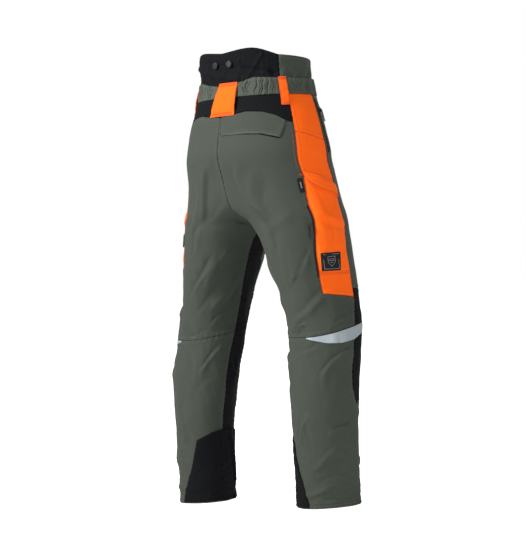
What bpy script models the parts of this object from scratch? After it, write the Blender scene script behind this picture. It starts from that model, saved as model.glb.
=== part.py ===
"""Chainsaw trousers: outer panels, pockets, zips, elastic waist, high back and cut pads.

+X is the wearer's left, -Y the front, +Z up. The origin is the middle of the waistband.
Heights h are measured from the ground the wearer stands on; the hems hang HEM_H above it. A point of the cloth is given by a height
and by an angle phi round the wearer's left half: 0 faces outwards, 90 the back,
-90 the front and 180 the inside of the leg. The right half is its mirror image.
"""

import math

import bpy
import numpy as np
from mathutils import Matrix, Vector

WAIST_H = 1.072      # middle of the waistband above the ground
HEM_H = 0.028        # hems above the ground
CLOTH = 0.0012       # thickness of one outer panel
GAP = 0.00016        # half the gap at a seam between two panels
ROUNDNESS = 2.15     # exponent of the section's superellipse
KNEE_H = 0.447       # knee hinge height
KNEE_SLOPE = 0.20    # rise of the knee seam towards the front

# h, centre x, centre y, half width, half depth, toe-out in degrees
SECTIONS = (
    (0.00, 0.204, 0.030, 0.065, 0.082, 14),
    (0.10, 0.204, 0.030, 0.066, 0.082, 13),
    (0.22, 0.203, 0.028, 0.069, 0.085, 12),
    (0.34, 0.200, 0.019, 0.078, 0.090, 10),
    (0.45, 0.192, -0.003, 0.080, 0.096, 8),
    (0.56, 0.170, -0.014, 0.074, 0.112, 7),
    (0.64, 0.148, -0.016, 0.082, 0.124, 4),
    (0.735, 0.112, -0.020, 0.110, 0.130, 0),
    (0.78, 0.066, -0.018, 0.146, 0.141, 0),
    (0.84, 0.022, -0.014, 0.180, 0.150, 0),
    (0.90, 0.000, -0.006, 0.195, 0.157, 0),
    (0.96, 0.000, -0.005, 0.187, 0.146, 0),
    (1.02, 0.000, -0.009, 0.169, 0.136, 0),
    (1.05, 0.000, -0.011, 0.158, 0.130, 0),
    (1.08, 0.000, -0.011, 0.151, 0.126, 0),
    (1.12, 0.000, -0.011, 0.149, 0.124, 0),
    (1.18, 0.000, -0.009, 0.150, 0.124, 0),
)

GREEN = ("cloth_green", (0.090, 0.107, 0.087), 0.85, 0.0)
BLACK = ("cloth_black", (0.010, 0.011, 0.014), 0.85, 0.0)
ORANGE = ("cloth_orange", (0.85, 0.144, 0.006), 0.80, 0.0)
SILVER = ("reflective_tape", (0.45, 0.50, 0.52), 0.45, 0.0)
RIB = ("elastic_rib", (0.075, 0.090, 0.073), 0.90, 0.0)
PAD = ("pad_fibre", (0.70, 0.68, 0.60), 0.95, 0.0)
MESH = ("pocket_lining", (0.05, 0.05, 0.055), 0.95, 0.0)
PLASTIC = ("black_plastic", (0.012, 0.012, 0.014), 0.40, 0.0)
TAPE = ("zip_tape", (0.009, 0.009, 0.011), 0.80, 0.0)
LABEL = ("label_black", (0.012, 0.012, 0.015), 0.60, 0.0)


def material(spec):
    name, colour, roughness, metallic = spec
    found = bpy.data.materials.get(name)
    if found:
        return found
    made = bpy.data.materials.new(name)
    made.use_nodes = True
    shader = made.node_tree.nodes["Principled BSDF"]
    shader.inputs["Base Color"].default_value = (*colour, 1.0)
    shader.inputs["Roughness"].default_value = roughness
    shader.inputs["Metallic"].default_value = metallic
    return made


def smooth_curve(x, table, column):
    """Monotone cubic through one column of a table whose first column is x."""
    xs = np.array([row[0] for row in table], float)
    ys = np.array([row[column] for row in table], float)
    x = np.clip(np.asarray(x, float), xs[0], xs[-1])
    step = np.diff(xs)
    slope = np.diff(ys) / step
    tangent = np.zeros(len(xs))
    tangent[0], tangent[-1] = slope[0], slope[-1]
    for k in range(1, len(xs) - 1):
        if slope[k - 1] * slope[k] > 0:
            near, far = 2 * step[k] + step[k - 1], step[k] + 2 * step[k - 1]
            tangent[k] = (near + far) / (near / slope[k - 1] + far / slope[k])
    i = np.clip(np.searchsorted(xs, x, side="right") - 1, 0, len(xs) - 2)
    t = (x - xs[i]) / step[i]
    return (
        (2 * t**3 - 3 * t**2 + 1) * ys[i]
        + (t**3 - 2 * t**2 + t) * step[i] * tangent[i]
        + (3 * t**2 - 2 * t**3) * ys[i + 1]
        + (t**3 - t**2) * step[i] * tangent[i + 1]
    )


def line(x, table):
    """Straight lines through (x, value) pairs."""
    return np.interp(x, [row[0] for row in table], [row[1] for row in table])


def raw_point(phi, h):
    cx, cy, a, b, toe = (smooth_curve(h, SECTIONS, k) for k in range(1, 6))
    angle, turn = np.radians(phi), np.radians(toe)
    power = 2 / ROUNDNESS
    across = a * np.sign(np.cos(angle)) * np.abs(np.cos(angle)) ** power
    along = b * np.sign(np.sin(angle)) * np.abs(np.sin(angle)) ** power
    x = cx + across * np.cos(turn) - along * np.sin(turn)
    y = cy + across * np.sin(turn) + along * np.cos(turn)
    return x, y


def end_angle(h):
    """Angle at which the left half meets the middle plane, or 180 below the crotch."""
    cx, a = smooth_curve(h, SECTIONS, 1), smooth_curve(h, SECTIONS, 3)
    share = np.clip(cx / a, 0, 1) ** (ROUNDNESS / 2)
    return np.degrees(np.arccos(-share))


def cloth(phi, h, out=0.0, side=1, whole=False):
    """Points of the cloth moved outwards and level by `out`; `whole` goes round both halves."""
    phi, h, out = np.broadcast_arrays(
        np.asarray(phi, float), np.asarray(h, float), np.asarray(out, float)
    )
    x, y = raw_point(phi, h)
    x1, y1 = raw_point(phi + 0.5, h)
    x0, y0 = raw_point(phi - 0.5, h)
    normal_x, normal_y = y1 - y0, x0 - x1
    size = np.hypot(normal_x, normal_y)
    x, y = x + out * normal_x / size, y + out * normal_y / size
    if not whole:
        x = side * np.maximum(x, GAP)
    return np.stack([x, y, h - WAIST_H], -1)


def knee_seam(phi):
    x, y = raw_point(np.asarray(phi, float), KNEE_H)
    rear = raw_point(np.linspace(60, 120, 61), KNEE_H)[1].max()
    return KNEE_H + KNEE_SLOPE * (rear - y)


def finish(name, verts, faces, look, soft=35):
    """A mesh object whose faces are turned outwards."""
    verts = np.asarray(verts, float)
    volume = 0.0
    for face in faces:
        for k in range(1, len(face) - 1):
            volume += np.linalg.det(verts[[face[0], face[k], face[k + 1]]])
    if volume < 0:
        faces = [tuple(reversed(face)) for face in faces]
    mesh = bpy.data.meshes.new(name)
    mesh.from_pydata([tuple(map(float, v)) for v in verts], [], faces)
    mesh.materials.append(material(look))
    obj = bpy.data.objects.new(name, mesh)
    bpy.context.scene.collection.objects.link(obj)
    mesh.shade_smooth()
    mesh.set_sharp_from_angle(angle=math.radians(soft))
    return obj


def slab(name, outer, inner, look, kept=None):
    """Closed solid between two grids of points; `kept` marks the cells of the grid it has."""
    rows, cols = outer.shape[:2]
    count = rows * cols
    verts = np.concatenate([outer.reshape(-1, 3), inner.reshape(-1, 3)])
    if kept is None:
        kept = np.ones((rows - 1, cols - 1), bool)
    inside = np.pad(kept, 1)
    faces = []
    for i, j in np.argwhere(kept):
        a, b = i * cols + j, i * cols + j + 1
        c, d = b + cols, a + cols
        for triangle in ((a, b, c), (a, c, d)):
            faces.append(triangle)
            faces.append(tuple(k + count for k in reversed(triangle)))
        walls = ((inside[i, j + 1], a, b), (inside[i + 1, j + 2], b, c),
                 (inside[i + 2, j + 1], c, d), (inside[i + 1, j], d, a))
        faces += [(p, p + count, q + count, q) for joined, p, q in walls if not joined]
    used = sorted({k for face in faces for k in face})
    place_of = {k: n for n, k in enumerate(used)}
    faces = [tuple(place_of[k] for k in face) for face in faces]
    return finish(name, verts[used], faces, look)


def grid(low, high, edge_a, edge_b, levels, columns):
    """(phi, h) of a panel between two side edges phi(h) and a bottom and a top edge h(phi).

    `levels` are the heights of the rows between the bottom and the top edge.
    """
    share = np.linspace(0, 1, columns)
    inset = np.degrees(GAP / 0.08)
    phis, heights = [], []
    for level, cut in [(low, GAP), *((h, 0.0) for h in levels), (high, -GAP)]:
        if callable(level):
            h = np.full(columns, float(np.mean(level(np.array([20.0, 90.0, 160.0])))))
        else:
            h = np.full(columns, float(level))
        for _ in range(5):
            start, stop = edge_a(h), edge_b(h)
            step = np.sign(stop - start) * inset
            phi = start + step + (stop - start - 2 * step) * share
            if not callable(level):
                break
            h = level(phi) + cut
        phis.append(phi)
        heights.append(h)
    return np.array(phis), np.array(heights)


def stepped(main, wing, rows):
    """The grid `main` with `wing` beside its last column, up to the row number `rows`."""
    extra = len(main[0]) - len(wing[0])
    joined = []
    for part, more in zip(main, wing):
        more = np.concatenate([more, np.repeat(more[-1:], extra, axis=0)])
        joined.append(np.concatenate([part, more[:, 1:]], axis=1))
    kept = np.ones((len(main[0]) - 1, joined[0].shape[1] - 1), bool)
    kept[rows:, main[0].shape[1] - 1:] = False
    return joined[0], joined[1], kept


def sheet(name, side, phi, h, look, inner=0.0, outer=CLOTH, whole=False, kept=None):
    """Cloth over the body between two offsets from it."""
    return slab(name, cloth(phi, h, outer, side, whole), cloth(phi, h, inner, side, whole),
                look, kept)


def pair(name, *args, **more):
    return [sheet(f"{name}_{word}", side, *args, **more) for word, side in SIDES]


def edge(*table):
    """A side edge: phi at a height, from (h, phi) pairs."""
    return lambda h: line(h, table)


def rim(*table):
    """A bottom or top edge: height at a phi, from (phi, h) pairs."""
    return lambda phi: line(phi, table)


def from_back(*table):
    """A height that is the same on both sides of the centre back."""
    return lambda phi: line(np.abs(np.asarray(phi) - 90), table)


SIDES = (("left", 1), ("right", -1))
BAND_LOW = 1.052

side_rear = edge((0.552, 26), (0.60, 27), (0.70, 28), (0.76, 27), (0.84, 22.5), (1.05, 22))
side_front = edge((0.535, -25), (0.56, -24.5), (0.60, -24), (0.70, -20), (0.76, -17), (0.84, -14),
                  (0.95, -12.5), (1.05, -12.5))
thigh_rear = edge((0.0, 26), (0.552, 26), (0.60, 27), (0.70, 28), (0.76, 27), (0.84, 22.5),
                  (1.05, 22))
knee_outer = edge((0.28, -30), (0.32, -15), (0.36, -13), (0.43, -13), (0.50, -20), (0.535, -26),
                  (0.56, -25.5))
shin_side = edge((0.0, -30), (0.28, -30), (0.32, -15), (0.36, -13), (0.43, -13), (0.50, -20))
inner_back = edge((0.0, 163), (0.23, 165), (0.43, 169), (0.50, 176), (0.56, 178), (0.64, 177),
                  (0.70, 175), (0.733, 180))
inner_front = edge((0.0, 222), (0.43, 222), (0.56, 219), (0.64, 209), (0.70, 189), (0.733, 180))

side_low = rim((-45, 0.535), (26, 0.552))
band_top = from_back((0, 1.081), (20, 1.090), (33, 1.098), (62, 1.094))
back_top = from_back((0, 1.163), (33, 1.173), (62, 1.152))
yoke_low = from_back((0, 1.004), (13, 1.009), (24, 1.0135), (39, 1.010), (51, 1.0),
                     (61, 0.984), (68, 0.979))
flap_low = rim((37, 0.942), (51, 0.954), (66, 0.957), (88, 0.957))
cargo_flap_low = rim((-19, 0.789), (-10, 0.799), (0, 0.812), (12, 0.829), (23, 0.842))
cargo_flap_top = rim((-19, 0.822), (-8, 0.831), (8, 0.848), (23, 0.858))


def seat_inner(h):
    return np.minimum(inner_back(h), end_angle(h))


def seat_top(phi):
    return yoke_low(phi) - 0.0008


def front_inner(h):
    return -np.minimum(360 - inner_front(h), end_angle(h))


def knee_inner(h):
    return inner_front(h) - 360


def level(value):
    return lambda phi: np.full(np.shape(phi), float(value))


def at_phi(value):
    return lambda h: np.full(np.shape(h), float(value))


# ---------------------------------------------------------------- outer panels
def leg_panels():
    thigh = (0.60, 0.64, 0.68, 0.70, 0.733, 0.755, 0.77, 0.80, 0.84, 0.90, 0.95)
    main = grid(knee_seam, seat_top, seat_inner, thigh_rear, (0.50, 0.552, *thigh), 14)
    wing = grid(knee_seam, side_low, thigh_rear, knee_outer, (0.50,), 7)
    phi, h, kept = stepped(main, wing, 2)
    pair("seat_panel", phi, h, GREEN, kept=kept)
    pair("side_panel",
         *grid(side_low, level(BAND_LOW), side_rear, side_front, (0.56, *thigh, 1.0), 7), ORANGE)
    pair("front_thigh_panel",
         *grid(level(0.5605), level(BAND_LOW), side_front, front_inner, (*thigh, 1.0), 12), GREEN)
    pair("inner_thigh_panel",
         *grid(knee_seam, level(0.724), inner_front, inner_back,
               (0.50, 0.535, 0.56, 0.60, 0.64, 0.68, 0.70), 4), BLACK)
    shin = (0.06, 0.12, 0.18, 0.23, 0.2795, 0.32, 0.36, 0.40, 0.43)
    main = grid(level(HEM_H), knee_seam, inner_back, shin_side, shin, 16)
    wing = grid(level(HEM_H), level(0.2797), shin_side, knee_inner, (0.06, 0.12, 0.18, 0.23), 9)
    phi, h, kept = stepped(main, wing, 5)
    pair("shin_panel", phi, h, GREEN, kept=kept)
    pair("inner_shin_panel",
         *grid(level(HEM_H), knee_seam, inner_front, inner_back, shin, 4), BLACK)
    pair("knee_panel",
         *grid(level(0.2805), level(0.56), knee_outer, knee_inner,
               (0.32, 0.36, 0.40, 0.43, 0.50, 0.535), 11), BLACK)
    patch_back = edge((0.0, 63), (0.06, 76), (0.12, 94), (0.20, 109))
    patch_top = rim((105, 0.190), (137, 0.208), (165, 0.215), (238, 0.205))
    pair("ankle_patch",
         *grid(level(HEM_H + 0.003), patch_top, at_phi(238), patch_back, (0.06, 0.12, 0.17), 15),
         BLACK, 0.0028, 0.0040)

    def slash_top(phi):
        return knee_seam(phi) - 0.0015

    def slash_low(phi):
        depth = line(phi, ((-43, 0.022), (-12, 0.031), (10, 0.029), (35, 0.020), (70, 0.0015)))
        return slash_top(phi) - depth

    pair("reflective_slash",
         *grid(slash_low, slash_top, at_phi(70), at_phi(-42), (), 11), SILVER, 0.0018, 0.0024)


def pads():
    thigh_inner = edge((0.0, -134), (0.66, -134), (0.70, -118), (0.755, -100), (0.80, -94))
    pair("cut_pad_thigh",
         *grid(level(0.566), level(0.80), at_phi(-28), thigh_inner,
               (0.60, 0.64, 0.68, 0.70, 0.733, 0.755, 0.77), 9), PAD, -0.0095, -0.0036)
    pair("cut_pad_shin",
         *grid(level(0.058), level(0.556), at_phi(-52), at_phi(-136),
               (0.10, 0.16, 0.24, 0.32, 0.40, 0.45, 0.50, 0.535), 7), PAD, -0.0085, -0.0026)


# ---------------------------------------------------------------- waist
def back_low(phi):
    return band_top(phi) + 0.0006


def waist():
    sheet("high_back_panel", 1,
          *grid(back_low, back_top, at_phi(28), at_phi(152), (1.115, 1.14), 19), BLACK, whole=True)
    tip = rim((-80, 1.102), (-60, 1.120), (-35, 1.142), (28, 1.152))
    pair("side_waist_panel", *grid(level(1.0943), tip, at_phi(-80), at_phi(27.8), (), 13), GREEN)
    sheet("back_yoke", 1,
          *grid(yoke_low, level(BAND_LOW), at_phi(22), at_phi(158), (1.03,), 17), BLACK, whole=True)
    sheet("waistband_casing", 1,
          *grid(level(BAND_LOW), band_top, at_phi(-89.6), at_phi(269.6), (1.066,), 41), RIB,
          0.0, 0.0016, whole=True)
    sheet("waist_elastic", 1,
          *grid(level(1.056), level(1.078), at_phi(-20), at_phi(200), (), 23), RIB,
          -0.0042, -0.0017, whole=True)


def strap(corners, columns, rows):
    """(phi, h) between four corners: low a, low b, top a, top b."""
    across, up = np.meshgrid(np.linspace(0, 1, columns), np.linspace(0, 1, rows))
    low_a, low_b, top_a, top_b = (np.array(corner, float) for corner in corners)
    found = [
        (low_a[k] + (low_b[k] - low_a[k]) * across) * (1 - up)
        + (top_a[k] + (top_b[k] - top_a[k]) * across) * up
        for k in range(2)
    ]
    return found[0], found[1], up


def belt_loop(name, side, corners, look, stand, whole=False):
    """A strap sewn down at both ends that stands off the waistband in between."""
    phi, h, up = strap(corners, 4, 11)
    out = 0.0022 + stand * np.clip(np.sin(np.pi * up), 0, 1) ** 0.5
    return sheet(name, side, phi, h, look, out, out + 0.0016, whole)


def belt_loops():
    back = ((80, 1.010), (103, 1.010), (87, 1.088), (106, 1.088))
    belt_loop("belt_loop_back", 1, back, ORANGE, 0.0075, whole=True)
    for word, side in SIDES:
        corners = ((22.5, 1.024), (31.5, 1.024), (21.5, 1.096), (30.5, 1.096))
        belt_loop(f"belt_loop_side_{word}", side, corners, ORANGE, 0.0065)


# ---------------------------------------------------------------- pockets
def pouch_out(phi, h):
    """Stand-off of the cargo pouch from the body: deep in the middle and at its mouth."""
    rear, front = side_rear(h) - 2.0, side_front(h) + 2.5
    across = np.clip((phi - front) / (rear - front), 0, 1)
    up = np.clip((h - 0.598) / 0.06, 0, 1)
    return 0.0030 + 0.0085 * np.sin(np.pi * across) ** 0.55 * np.sin(np.pi / 2 * up) ** 0.7


def side_pockets():
    def mouth(phi):
        return cargo_flap_low(phi) + 0.008

    phi, h = grid(level(0.598), mouth, lambda x: side_rear(x) - 2.0,
                  lambda x: side_front(x) + 2.5, (0.606, 0.62, 0.66, 0.70, 0.74, 0.78), 9)
    out = pouch_out(phi, h)
    pair("cargo_pocket", phi, h, ORANGE, out - 0.0012, out)

    phi, h = grid(cargo_flap_low, cargo_flap_top, at_phi(22), at_phi(-14.5), (), 9)
    share = np.array([0.0, 0.35, 0.7, 0.88, 1.0])[:, None]
    phi, h = phi[:1] + (phi[1:] - phi[:1]) * share, h[:1] + (h[1:] - h[:1]) * share
    over = np.clip((1.0 - share) / 0.3, 0, 1) ** 0.6
    rise = np.clip((phi - -14.5) / 36.5, 0, 1)
    out = 0.0022 + (0.0022 + 0.0085 * np.sin(np.pi * rise) ** 0.5) * over
    pair("cargo_flap", phi, h, ORANGE, out, out + 0.0014)


def back_pocket():
    def hood(phi):
        return yoke_low(phi) - 0.0015

    side_edge = edge((0.942, 37), (0.984, 29.5))
    phi, h = grid(flap_low, hood, at_phi(88), side_edge, (), 9)
    share = np.array([0.0, 0.5, 1.0])[:, None]
    phi, h = phi[:1] + (phi[1:] - phi[:1]) * share, h[:1] + (h[1:] - h[:1]) * share
    sheet("back_pocket_flap_right", -1, phi, h, GREEN, 0.0020, 0.0032)

    phi, h = grid(level(0.80), level(0.978), at_phi(82), at_phi(36), (0.82, 0.88, 0.94, 0.965), 8)
    across = np.sin(np.pi * np.linspace(0, 1, 8))[None, :] ** 0.5
    up = np.array([0.0, 0.8, 1.0, 1.0, 0.8, 0.0])[:, None]
    out = -0.0022 - 0.0085 * across * up
    sheet("back_pocket_bag_right", -1, phi, h, MESH, out - 0.0008, out)

    phi, h = strap(((76, 0.960), (42, 0.950), (76, 0.968), (42, 0.958)), 7, 2)[:2]
    slot = sheet("cut_back_pocket_mouth", -1, phi, h, MESH, -0.004, 0.005)
    slot.hide_render = True
    slot.display_type = "WIRE"
    cut = bpy.data.objects["seat_panel_right"].modifiers.new("mouth", "BOOLEAN")
    cut.operation = "DIFFERENCE"
    cut.solver = "EXACT"
    cut.object = slot


def labels():
    phi, h = strap(((23, 0.607), (-3, 0.607), (23, 0.651), (-3, 0.653)), 6, 4)[:2]
    out = pouch_out(phi, h) + 0.0004
    sheet("emblem_label_right", -1, phi, h, LABEL, out, out + 0.0009)
    phi, h = strap(((30.5, 0.803), (25.5, 0.804), (29.5, 0.838), (24.5, 0.839)), 2, 3)[:2]
    sheet("flag_label_right", -1, phi, h, LABEL, 0.0018, 0.0028)


# ---------------------------------------------------------------- hardware
def place(obj, origin, up, out):
    """Puts the object's Z along `up` and its Y along `out`, at a point."""
    up = Vector(up).normalized()
    out = Vector(out)
    out = (out - up * out.dot(up)).normalized()
    across = out.cross(up)
    turn = Matrix((across, out, up)).transposed().to_4x4()
    obj.matrix_world = Matrix.Translation(Vector(origin)) @ turn
    return obj


def box(name, size, centre, look, round_off=0.0):
    sx, sy, sz = (s / 2 for s in size)
    verts = [
        (centre[0] + x * sx, centre[1] + y * sy, centre[2] + z * sz)
        for z in (-1, 1) for y in (-1, 1) for x in (-1, 1)
    ]
    faces = [(0, 1, 3, 2), (4, 6, 7, 5), (0, 4, 5, 1), (2, 3, 7, 6), (0, 2, 6, 4), (1, 5, 7, 3)]
    obj = finish(name, verts, faces, look)
    if round_off:
        bevel = obj.modifiers.new("edges", "BEVEL")
        bevel.width = round_off
        bevel.segments = 2
    return obj


def disc(name, radius, thick, look, sides=24):
    """A round button with its axis along Y and its back face at Y = 0."""
    verts, faces = [], []
    rings = ((0.0, 0.92), (0.25, 1.0), (0.7, 1.0), (1.0, 0.8))
    for y, share in rings:
        for k in range(sides):
            turn = 2 * math.pi * k / sides
            verts.append((radius * share * math.cos(turn), y * thick, radius * share * math.sin(turn)))
    for ring in range(len(rings) - 1):
        for k in range(sides):
            a, b = ring * sides + k, ring * sides + (k + 1) % sides
            faces.append((a, b, b + sides, a + sides))
    last = (len(rings) - 1) * sides
    faces.append(tuple(range(sides - 1, -1, -1)))
    faces.append(tuple(range(last, last + sides)))
    return finish(name, verts, faces, look)


def outward(phi, h, side, whole=False):
    ahead = cloth(phi, h, 0.01, side, whole)
    here = cloth(phi, h, 0.0, side, whole)
    return (ahead - here) / np.linalg.norm(ahead - here)


def buttons():
    for word, side in SIDES:
        phi = 90 - side * 7.7
        button = disc(f"brace_button_{word}", 0.0085, 0.0042, PLASTIC)
        place(button, cloth(phi, 1.136, 0.0016, whole=True), (0, 0, 1),
              outward(phi, 1.136, 1, whole=True))
    stud = disc("waist_stud", 0.0085, 0.0040, PLASTIC)
    place(stud, cloth(-90, 1.073, 0.0034, whole=True), (0, 0, 1), outward(-90, 1.073, 1, whole=True))


def zipper(name, side, low, high, start, width=0.012, rise=0.0016, whole=False):
    """Tape along the cloth from `low` to `high`, with a slider and a hanging puller.

    `low` and `high` are (phi, h); `start` is the slider's place as a share from low to high.
    """
    share = np.linspace(0, 1, 9)[:, None]
    phi = low[0] + (high[0] - low[0]) * share
    h = low[1] + (high[1] - low[1]) * share
    middle = np.broadcast_to(cloth(phi, h, 0.0, side, whole), (9, 1, 3))
    normal = np.array([outward(p, z, side, whole) for p, z in zip(phi[:, 0], h[:, 0])])[:, None]
    along = np.gradient(middle[:, 0], axis=0)[:, None]
    along /= np.linalg.norm(along, axis=-1, keepdims=True)
    across = np.cross(along, normal)
    columns = np.array([-1.0, 0.0, 1.0])[None, :, None] * (width / 2)
    base = middle + across * columns
    slab(f"{name}_tape", base + normal * (rise + 0.0010), base + normal * rise, TAPE)

    ends = middle[0, 0], middle[-1, 0]
    run = Vector(ends[1] - ends[0])
    out = Vector(normal[4, 0])
    up = run.normalized()
    out = (out - up * out.dot(up)).normalized()
    proud = max((Vector(point[0]) - Vector(ends[0])).dot(out) for point in middle)
    origin = Vector(ends[0]) + run * start + out * (proud + rise + 0.0014)
    slider = box(f"{name}_slider", (0.0075, 0.0030, 0.0110), (0, 0.0015, 0), PLASTIC, 0.0006)
    place(slider, origin, up, out)

    down = Vector((0, 0, -1))
    down = (down - out * down.dot(out)).normalized()
    hinge = origin + out * 0.0043 + up * 0.002
    puller = box(f"{name}_puller", (0.0080, 0.0014, 0.0330), (0, 0, -0.0165), PLASTIC, 0.0005)
    place(puller, hinge, -down, out)
    return slider, puller


def zips():
    zipper("fly_zip", 1, (-90, 0.905), (-90, 1.043), 0.94, width=0.022, rise=0.0030, whole=True)
    for word, side in SIDES:
        zipper(f"slash_zip_{word}", side, (-20, 0.905), (-17, 1.040), 0.78)
        zipper(f"vent_zip_{word}", side, (29.0, 0.592), (29.5, 0.770), 0.70)


def build():
    for obj in list(bpy.data.objects):
        bpy.data.objects.remove(obj)
    leg_panels()
    pads()
    waist()
    belt_loops()
    side_pockets()
    back_pocket()
    labels()
    buttons()
    zips()


build()
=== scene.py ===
"""Looks of the protective trousers: panels, seams, folds and stitches over the CAD frame.

A place on the cloth is an angle phi and a height h above the ground. Phi is 0 at the outside,
90 at the back, -90 at the front and 180 at the inside of the wearer's left half, which is
mirrored for the right one; a `whole` piece goes all round the waist with one phi.
"""

import math

import bpy
import numpy as np
from mathutils import Matrix, Vector


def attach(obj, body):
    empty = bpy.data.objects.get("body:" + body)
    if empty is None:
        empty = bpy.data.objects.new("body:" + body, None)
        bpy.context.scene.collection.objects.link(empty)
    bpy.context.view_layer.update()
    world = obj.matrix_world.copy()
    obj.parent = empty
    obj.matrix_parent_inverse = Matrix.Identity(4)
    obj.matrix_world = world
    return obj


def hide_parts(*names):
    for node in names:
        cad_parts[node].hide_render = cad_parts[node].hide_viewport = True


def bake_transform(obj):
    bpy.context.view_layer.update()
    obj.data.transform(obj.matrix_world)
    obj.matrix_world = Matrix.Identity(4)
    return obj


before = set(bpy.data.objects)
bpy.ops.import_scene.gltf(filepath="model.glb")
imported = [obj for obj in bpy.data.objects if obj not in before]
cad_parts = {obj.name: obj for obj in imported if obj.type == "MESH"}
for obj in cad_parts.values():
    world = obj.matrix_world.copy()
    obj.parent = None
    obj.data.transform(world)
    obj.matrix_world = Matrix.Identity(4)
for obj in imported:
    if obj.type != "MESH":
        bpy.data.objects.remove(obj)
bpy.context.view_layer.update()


WAIST_H = 1.072     # middle of the waistband, where z is 0
HEM_H = 0.028
KNEE_H = 0.447      # knee seam at the back
KNEE_SLOPE = 0.20   # how much the knee seam rises for each metre forward
BAND_LOW = 1.052    # lower edge of the gathered band
CLOTH = 0.0012      # thickness
GAP = 0.00002       # how near the halves come to the centre plane
ROUNDNESS = 2.15    # power of the sections' outline; 2 is an ellipse
SIDES = (("left", 1), ("right", -1))

# Sections: h, centre x, centre y, half width, half depth, toe-out in degrees.
SECTIONS = (
    (0.00, 0.204, 0.030, 0.065, 0.082, 14),
    (0.10, 0.204, 0.030, 0.066, 0.082, 13),
    (0.22, 0.203, 0.028, 0.069, 0.085, 12),
    (0.34, 0.200, 0.019, 0.078, 0.090, 10),
    (0.45, 0.192, -0.003, 0.080, 0.096, 8),
    (0.56, 0.170, -0.014, 0.074, 0.112, 7),
    (0.64, 0.148, -0.016, 0.082, 0.124, 4),
    (0.735, 0.112, -0.020, 0.110, 0.130, 0),
    (0.78, 0.066, -0.018, 0.146, 0.141, 0),
    (0.84, 0.022, -0.014, 0.180, 0.150, 0),
    (0.90, 0.000, -0.006, 0.195, 0.157, 0),
    (0.96, 0.000, -0.005, 0.187, 0.146, 0),
    (1.02, 0.000, -0.009, 0.169, 0.136, 0),
    (1.05, 0.000, -0.011, 0.158, 0.130, 0),
    (1.08, 0.000, -0.011, 0.151, 0.126, 0),
    (1.12, 0.000, -0.011, 0.149, 0.124, 0),
    (1.18, 0.000, -0.009, 0.150, 0.124, 0),
)


def smooth_curve(x, table, column):
    """Monotone cubic through one column of a table whose first column is x."""
    xs = np.array([row[0] for row in table], float)
    ys = np.array([row[column] for row in table], float)
    x = np.clip(np.asarray(x, float), xs[0], xs[-1])
    step = np.diff(xs)
    slope = np.diff(ys) / step
    tangent = np.zeros(len(xs))
    tangent[0], tangent[-1] = slope[0], slope[-1]
    for k in range(1, len(xs) - 1):
        if slope[k - 1] * slope[k] > 0:
            near, far = 2 * step[k] + step[k - 1], step[k] + 2 * step[k - 1]
            tangent[k] = (near + far) / (near / slope[k - 1] + far / slope[k])
    i = np.clip(np.searchsorted(xs, x, side="right") - 1, 0, len(xs) - 2)
    t = (x - xs[i]) / step[i]
    return (
        (2 * t**3 - 3 * t**2 + 1) * ys[i]
        + (t**3 - 2 * t**2 + t) * step[i] * tangent[i]
        + (3 * t**2 - 2 * t**3) * ys[i + 1]
        + (t**3 - t**2) * step[i] * tangent[i + 1]
    )


def line(x, table):
    """Straight lines through (x, value) pairs."""
    return np.interp(x, [row[0] for row in table], [row[1] for row in table])


def raw_point(phi, h):
    """Plan position on the smooth body's outline, for the left half."""
    cx, cy, a, b, toe = (smooth_curve(h, SECTIONS, k) for k in range(1, 6))
    angle, turn = np.radians(phi), np.radians(toe)
    power = 2 / ROUNDNESS
    across = a * np.sign(np.cos(angle)) * np.abs(np.cos(angle)) ** power
    along = b * np.sign(np.sin(angle)) * np.abs(np.sin(angle)) ** power
    x = cx + across * np.cos(turn) - along * np.sin(turn)
    y = cy + across * np.sin(turn) + along * np.cos(turn)
    return x, y


def end_angle(h):
    """Angle at which the left half meets the middle plane, or 180 below the crotch."""
    cx, a = smooth_curve(h, SECTIONS, 1), smooth_curve(h, SECTIONS, 3)
    share = np.clip(cx / a, 0, 1) ** (ROUNDNESS / 2)
    return np.degrees(np.arccos(-share))


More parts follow.
